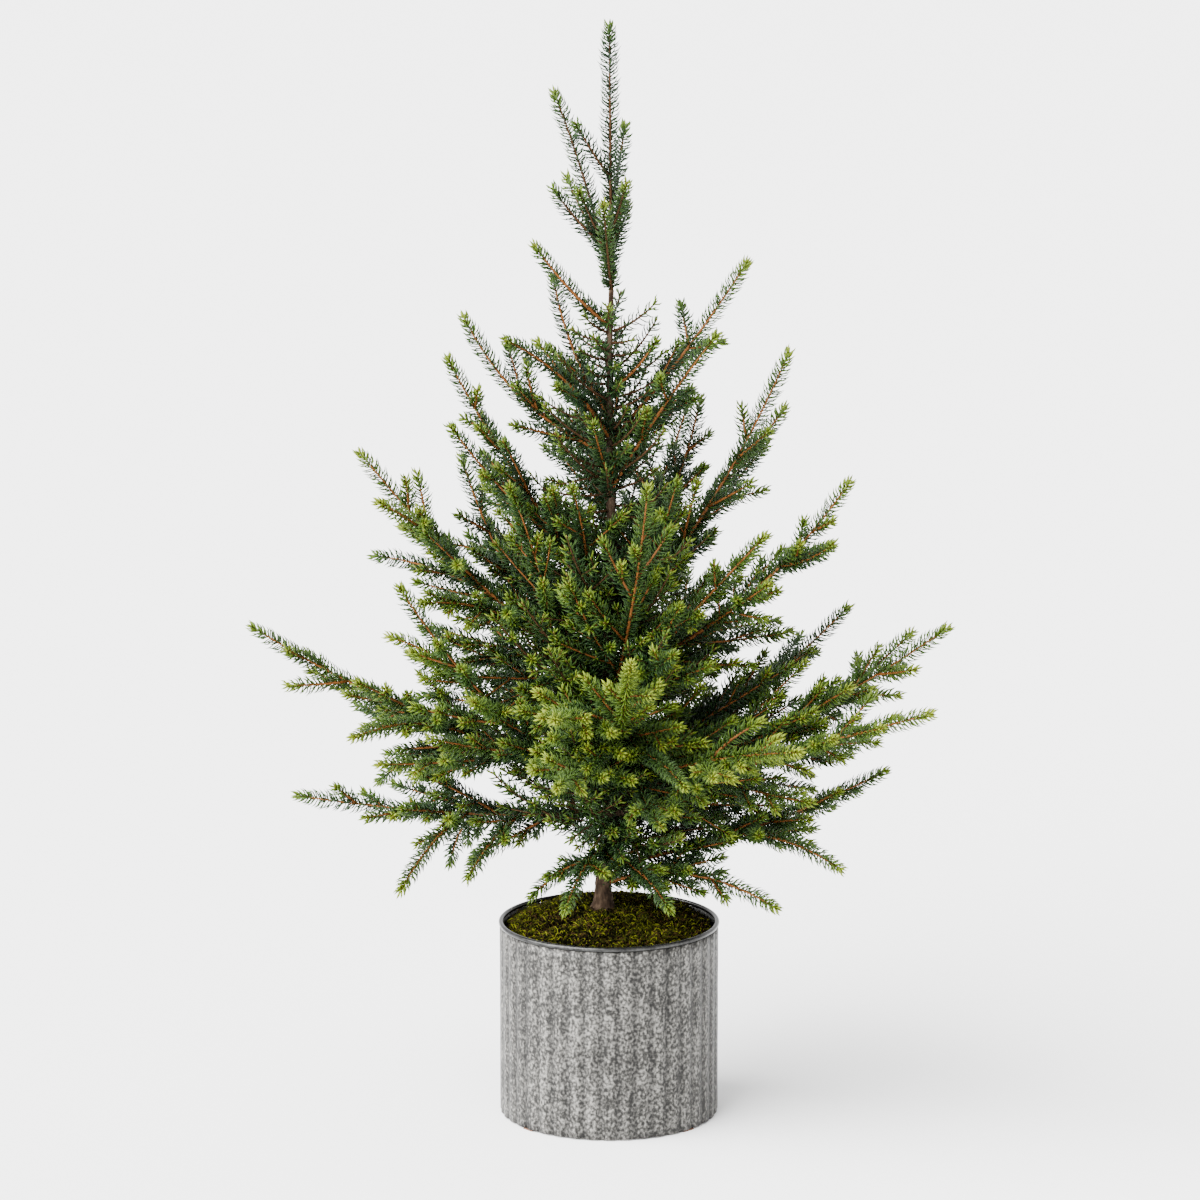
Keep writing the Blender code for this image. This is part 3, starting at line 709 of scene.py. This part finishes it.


# Needles: stiff needles, 8 to 15 mm long, in a close spiral round every shoot, leaning forward and
# bending in. They part on the side that faces the front, where the shoots show their bark. They are
# dark green deep within the crown and at its back (painted shade), mid green further out and towards
# the front (painted light), and lime at the tips.
NEEDLE_PITCHES = (0.52 * MM, 0.54 * MM, 0.62 * MM, 0.80 * MM)
INNER_PITCH = 1.55 * MM
NEEDLE_LENGTH = 14.2 * MM
NEEDLE_LENGTHS = (0.82, 1.05)
NEEDLE_WIDTH = 1.85 * MM
NEEDLE_LEAN = 50
NEEDLE_BEND = 13
SEAT_SCATTER = 0.4
TIP_MARGIN = 0.2 * MM
LEAN_SCATTER = 6
TURN_SCATTER = 9
TIP_ZONE = 24 * MM
TIP_CLOSING = 26
TIP_SHORTENING = 0.28
TIP_BROADENING = 0.35
PARTING = 0.72
PARTED_SHARE = 0.75
UNPARTED_TIP = 0.3
CROWN_REACH = 0.36
CROWN_TAPER = 0.28
CROWN_FOOT = 0.3
CROWN_HEIGHT = 0.78
# painted shade deep in the crown and at its back, painted light further out and towards the front
DEEP_PAINTED_SHADE = 0.10
OUTER_PAINTED_LIGHT = 0.30
FRONT_PAINTED_LIGHT = 0.22
FRONT_DEPTH = 0.2
BACK_PAINTED_SHADE = -0.4
TIP_TONE = 0.46
SPRAY_SCATTER = 0.08
NEEDLE_SCATTER = 0.04
NEEDLE_TONES = (
    (0.0060, 0.0190, 0.0050),
    (0.0110, 0.0300, 0.0060),
    (0.0190, 0.0440, 0.0060),
    (0.0310, 0.0620, 0.0060),
    (0.0480, 0.0840, 0.0060),
    (0.0720, 0.1100, 0.0070),
    (0.1050, 0.1450, 0.0090),
    (0.1500, 0.1900, 0.0130),
)
SPINDLE_TURNS = (90, 210, 330)
SPINDLE_FLATNESS = 0.8
SPINDLE_FOOT = 0.75
SPINDLE_FACES = ((0, 2, 1), (0, 1, 4, 3), (1, 2, 5, 4), (2, 0, 3, 5), (3, 4, 6), (4, 5, 6), (5, 3, 6))


def spindles(foot, start_way, end_way, side, length, width, belly=0.62):
    """Corners of three-sided needles with a blunt foot and a pointed tip, bent at the belly."""
    across = np.cross(side, start_way)
    across /= np.linalg.norm(across, axis=1, keepdims=True)
    middle = foot + start_way * (length * belly)[:, None]
    rings = []
    for centre, fullness in ((foot, SPINDLE_FOOT), (middle, 1.0)):
        for turn in SPINDLE_TURNS:
            angle = math.radians(turn)
            spread = across * (math.sin(angle) * SPINDLE_FLATNESS) + side * math.cos(angle)
            rings.append(centre + spread * (width / 2 * fullness)[:, None])
    return np.stack([*rings, middle + end_way * (length * (1 - belly))[:, None]], axis=1)


def mesh_of_spindles(name, points):
    """One mesh of many spindles, from their corners as an array of (spindles, corners, 3)."""
    copies, corners = points.shape[:2]
    loops = np.concatenate([np.array(face) for face in SPINDLE_FACES])
    sizes = np.array([len(face) for face in SPINDLE_FACES])
    shifts = (np.arange(copies) * corners)[:, None]
    mesh = bpy.data.meshes.new(name)
    mesh.vertices.add(copies * corners)
    mesh.vertices.foreach_set("co", points.reshape(-1).astype(np.float32))
    mesh.loops.add(copies * len(loops))
    mesh.loops.foreach_set("vertex_index", (loops[None, :] + shifts).reshape(-1).astype(np.int32))
    mesh.polygons.add(copies * len(sizes))
    starts = np.concatenate([[0], np.cumsum(np.tile(sizes, copies))[:-1]])
    mesh.polygons.foreach_set("loop_start", starts.astype(np.int32))
    mesh.update(calc_edges=True)
    return mesh


def needles_on(shoot, pitch):
    """The needles of one shoot, and the tone of each."""
    length = shoot.path.length
    count = int((length - shoot.start) / pitch)
    distances = shoot.start + (np.arange(count) + chance.uniform(-SEAT_SCATTER, SEAT_SCATTER, count)) * pitch
    distances = np.clip(distances, shoot.start + MM, length - TIP_MARGIN)
    places, along, level, over = along_path(shoot.path, distances)
    tip = np.clip(1 - (length - distances) / TIP_ZONE, 0, 1)
    turn = np.radians(GOLDEN_ANGLE * np.arange(count) + chance.normal(0, TURN_SCATTER, count))
    outward = level * np.cos(turn)[:, None] + over * np.sin(turn)[:, None]
    parted = (outward[:, 1] < -PARTING) & (chance.uniform(0, 1, count) < PARTED_SHARE)
    lean = np.radians(NEEDLE_LEAN + chance.normal(0, LEAN_SCATTER, count) - TIP_CLOSING * tip ** 1.5)
    bend = math.radians(NEEDLE_BEND)
    first_way = along * np.cos(lean + bend)[:, None] + outward * np.sin(lean + bend)[:, None]
    last_way = along * np.cos(lean - bend)[:, None] + outward * np.sin(lean - bend)[:, None]
    size = NEEDLE_LENGTH * chance.uniform(*NEEDLE_LENGTHS, count) * (1 - TIP_SHORTENING * tip)
    width = NEEDLE_WIDTH * (1 + TIP_BROADENING * tip)
    # painted shade and light: needles deep in the crown or at its back get darker tones, and those further
    # out or at the front get lighter ones
    crown_reach = CROWN_REACH - CROWN_TAPER * np.clip((places[:, 2] - CROWN_FOOT) / CROWN_HEIGHT, 0, 1)
    spread = np.linalg.norm(places[:, :2], axis=1) / crown_reach
    shade = DEEP_PAINTED_SHADE + OUTER_PAINTED_LIGHT * np.clip(spread, 0, 1)
    shade += FRONT_PAINTED_LIGHT * np.clip(-places[:, 1] / FRONT_DEPTH, BACK_PAINTED_SHADE, 1)
    shade += (TIP_TONE * tip ** 1.3 + chance.normal(0, SPRAY_SCATTER)
              + chance.normal(0, NEEDLE_SCATTER, count))
    tones = np.clip((shade * len(NEEDLE_TONES)).astype(int), 0, len(NEEDLE_TONES) - 1)
    points = spindles(places, first_way, last_way, np.cross(along, outward), size, width)
    kept = ~parted | (tip > UNPARTED_TIP)
    return points[kept], tones[kept]


chance = np.random.default_rng(5)
needle_finishes = [plain_material(f"needles_green_{tone + 1}", colour, 0.45, gloss=0.16)
                   for tone, colour in enumerate(NEEDLE_TONES)]
for name, members in masses.items():
    pitches = [INNER_PITCH if name == "inner" else NEEDLE_PITCHES[shoot.rank] for shoot in members]
    made = [needles_on(shoot, pitch) for shoot, pitch in zip(members, pitches)]
    points = np.concatenate([points for points, tones in made])
    tones = np.repeat(np.concatenate([tones for points, tones in made]), len(SPINDLE_FACES))
    label = f"needles_of_{name}"
    piece = put_in_scene(label, mesh_of_spindles(label, points))
    for finish in needle_finishes:
        piece.data.materials.append(finish)
    piece.data.polygons.foreach_set("material_index", tones.astype(np.int32))
    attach(piece, "root")
    if name in bough_paths:
        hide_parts(f"needles_{name}")


# Buds: a small pointed brown bud closes every shoot, half hidden among the last needles.
BUD_LENGTH = 5 * MM
BUD_WIDTH = 2.2 * MM
BUD_SET_BACK = 2 * MM
BUD_BELLY = 0.5
BUD_BROWN = (0.10, 0.085, 0.012)

bud_seats = [along_path(shoot.path, np.array([shoot.path.length - BUD_SET_BACK]))[:3]
             for members in masses.values() for shoot in members]
bud_places, bud_ways, bud_sides = (np.concatenate(rows) for rows in zip(*bud_seats))
bud_count = len(bud_places)
bud_points = spindles(bud_places, bud_ways, bud_ways, bud_sides,
                      np.full(bud_count, BUD_LENGTH), np.full(bud_count, BUD_WIDTH), BUD_BELLY)
buds = put_in_scene("buds", mesh_of_spindles("buds", bud_points))
buds.data.materials.append(plain_material("bud_brown", BUD_BROWN, 0.5, gloss=0.15))
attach(buds, "root")


# Moss: a lumpy cushion over the soil, laid round the trunk a little below the rim, and a tangle of
# short olive, yellow-green, brown and dark fibres that stand out of it.
MOSS_RADIUS = 105.8 * MM
MOSS_EDGE = 184 * MM
MOSS_TOP = 206 * MM
MOSS_PATCH = 17 * MM
MOSS_FLOOR = 178 * MM
MOSS_SINK = 0.8 * MM
MOSS_RINGS = 44
MOSS_STEPS = 140
MOSS_LUMP = 8.0 * MM
LARGE_LUMPS_PER_METRE = 38
SMALL_LUMPS_PER_METRE = 95
SMALL_LUMP_SHARE = 0.5
LUMP_FADE_IN = 5
LUMP_FADE_OUT = 12
MOSS_BACK_RISE = 6.0 * MM
MOSS_BED = ((0.38, (0.003, 0.003, 0.001)), (0.5, (0.012, 0.010, 0.002)), (0.64, (0.035, 0.031, 0.004)))
FIBRES = 16000
FIBRE_LENGTH = 15 * MM
FIBRE_WIDTH = 1.2 * MM
FIBRE_RISE = (8, 60)
FIBRE_LENGTHS = (0.4, 1.0)
FIBRE_DROOP = 0.35
FIBRE_INSET = 1.5 * MM
FIBRE_ROOTING = 0.5 * MM
FIBRE_PATCHES_PER_METRE = 22
FIBRE_PATCH_SHARE = 0.5
FIBRE_TONES = {
    "moss_olive": (0.024, 0.027, 0.0030),
    "moss_yellow_green": (0.100, 0.105, 0.0080),
    "moss_brown": (0.032, 0.019, 0.0060),
    "moss_dark": (0.003, 0.003, 0.0010),
}
FIBRE_LIMITS = (-9.0, 0.26, 0.42, 0.62, 9.0)


def moss_height(x, y):
    """The mound's height, flat under the trunk, rounded down to the wall and lumpy in between."""
    reach = min(max((math.hypot(x, y) - MOSS_PATCH) / (MOSS_RADIUS - MOSS_PATCH), 0), 1)
    lumps = noise.noise(Vector((x, y, 0)) * LARGE_LUMPS_PER_METRE)
    lumps += SMALL_LUMP_SHARE * noise.noise(Vector((x, y, 0.3)) * SMALL_LUMPS_PER_METRE)
    room = min(reach * LUMP_FADE_IN, 1) * min((1 - reach) * LUMP_FADE_OUT, 1)
    rise = MOSS_BACK_RISE * min(max(y / MOSS_RADIUS, 0), 1) * reach
    return MOSS_TOP - (MOSS_TOP - MOSS_EDGE) * reach ** 1.6 + MOSS_LUMP * lumps * room + rise - MOSS_SINK


moss_shape = bmesh.new()
profile = [moss_shape.verts.new((MOSS_RADIUS * i / MOSS_RINGS, 0, 0)) for i in range(MOSS_RINGS + 1)]
profile.append(moss_shape.verts.new((MOSS_RADIUS, 0, MOSS_FLOOR)))
profile.append(moss_shape.verts.new((0, 0, MOSS_FLOOR)))
edges = [moss_shape.edges.new(pair) for pair in zip(profile, profile[1:])]
bmesh.ops.spin(moss_shape, geom=profile + edges, axis=(0, 0, 1), cent=(0, 0, 0), angle=math.tau,
               steps=MOSS_STEPS, use_merge=True)
bmesh.ops.remove_doubles(moss_shape, verts=moss_shape.verts, dist=0.01 * MM)
for vert in moss_shape.verts:
    if vert.co.z < MOSS_FLOOR / 2:
        vert.co.z = moss_height(vert.co.x, vert.co.y)
bmesh.ops.recalc_face_normals(moss_shape, faces=moss_shape.faces)
moss = put_in_scene("moss_cushion", smooth_mesh(moss_shape))
moss.data.materials.append(mottled_material("moss_bed", MOSS_BED, 0.95, 0, 1.0, 0.02, 90, 500))
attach(moss, "root")
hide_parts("moss")

reach = np.sqrt(chance.uniform(0.0, 1.0, FIBRES)) * (MOSS_RADIUS - FIBRE_INSET)
around = chance.uniform(0, math.tau, FIBRES)
roots = np.stack([reach * np.cos(around), reach * np.sin(around), np.zeros(FIBRES)], axis=1)
roots[:, 2] = [moss_height(x, y) - FIBRE_ROOTING for x, y, z in roots]
heading = chance.uniform(0, math.tau, FIBRES)
rise = np.radians(chance.uniform(*FIBRE_RISE, FIBRES))
flat = np.stack([np.cos(heading), np.sin(heading), np.zeros(FIBRES)], axis=1)
rising = flat * np.cos(rise)[:, None] + np.array([0, 0, 1]) * np.sin(rise)[:, None]
falling = flat + np.array([0, 0, -FIBRE_DROOP])
size = FIBRE_LENGTH * chance.uniform(*FIBRE_LENGTHS, FIBRES)
ends = roots[:, :2] + flat[:, :2] * size[:, None]
inside = np.linalg.norm(ends, axis=1) < MOSS_RADIUS - MM
sideways = np.cross(flat, [0, 0, 1])
fibres = spindles(roots, rising, falling, sideways, size, np.full(FIBRES, FIBRE_WIDTH))[inside]
patches = np.array([noise.noise(Vector((x, y, 0.7)) * FIBRE_PATCHES_PER_METRE) for x, y, z in roots])[inside]
draw = chance.uniform(0, 1, len(fibres)) + FIBRE_PATCH_SHARE * patches
for (label, colour), low_end, high_end in zip(FIBRE_TONES.items(), FIBRE_LIMITS, FIBRE_LIMITS[1:]):
    chosen = fibres[(draw >= low_end) & (draw < high_end)]
    piece = put_in_scene(label, mesh_of_spindles(label, chosen))
    piece.data.materials.append(plain_material(label, colour, 0.9, gloss=0.02))
    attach(piece, "root")
